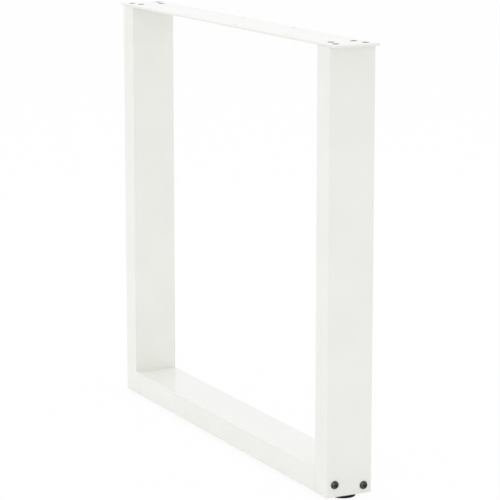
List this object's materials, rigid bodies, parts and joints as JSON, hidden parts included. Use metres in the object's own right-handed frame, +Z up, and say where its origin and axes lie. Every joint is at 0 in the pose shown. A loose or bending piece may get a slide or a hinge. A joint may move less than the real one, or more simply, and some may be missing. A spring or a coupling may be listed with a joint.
{
  "type": "u shaped table leg",
  "caption": "Bolted U-shaped steel frame that carries one end of a table, with tube posts, a cross tube, a flat drilled top plate and levelling feet.",
  "frame": {"origin": "on the floor, under the middle of the frame", "axes": "+X along the frame, +Y across it, +Z up to the table top"},
  "size_m": [0.8, 0.08, 0.72],
  "materials": {
    "white_powder_coat": "satin powder coat",
    "black_steel": "black oxide",
    "black_plastic": "moulded, fine grain",
    "zinc_steel": "bright zinc"
  },
  "bodies": {
    "frame": {"top_plate": "white_powder_coat", "left_post": "white_powder_coat", "right_post": "white_powder_coat", "bottom_beam": "white_powder_coat", "left_head_plate": "white_powder_coat", "right_head_plate": "white_powder_coat", "left_beam_plate": "white_powder_coat", "right_beam_plate": "white_powder_coat", "left_foot_plate": "white_powder_coat", "right_foot_plate": "white_powder_coat", "corner_bolts": "black_steel", "plate_screws": "black_steel"},
    "left_foot": {"left_foot_pad": "black_plastic", "left_foot_stem": "zinc_steel"},
    "right_foot": {"right_foot_pad": "black_plastic", "right_foot_stem": "zinc_steel"}
  },
  "joints": [
    {"name": "left_foot_slide", "type": "slide", "parent": "frame", "child": "left_foot", "axis": [0, 0, 1], "range_m": [-0.01, 0]},
    {"name": "right_foot_slide", "type": "slide", "parent": "frame", "child": "right_foot", "axis": [0, 0, 1], "range_m": [-0.01, 0]}
  ]
}
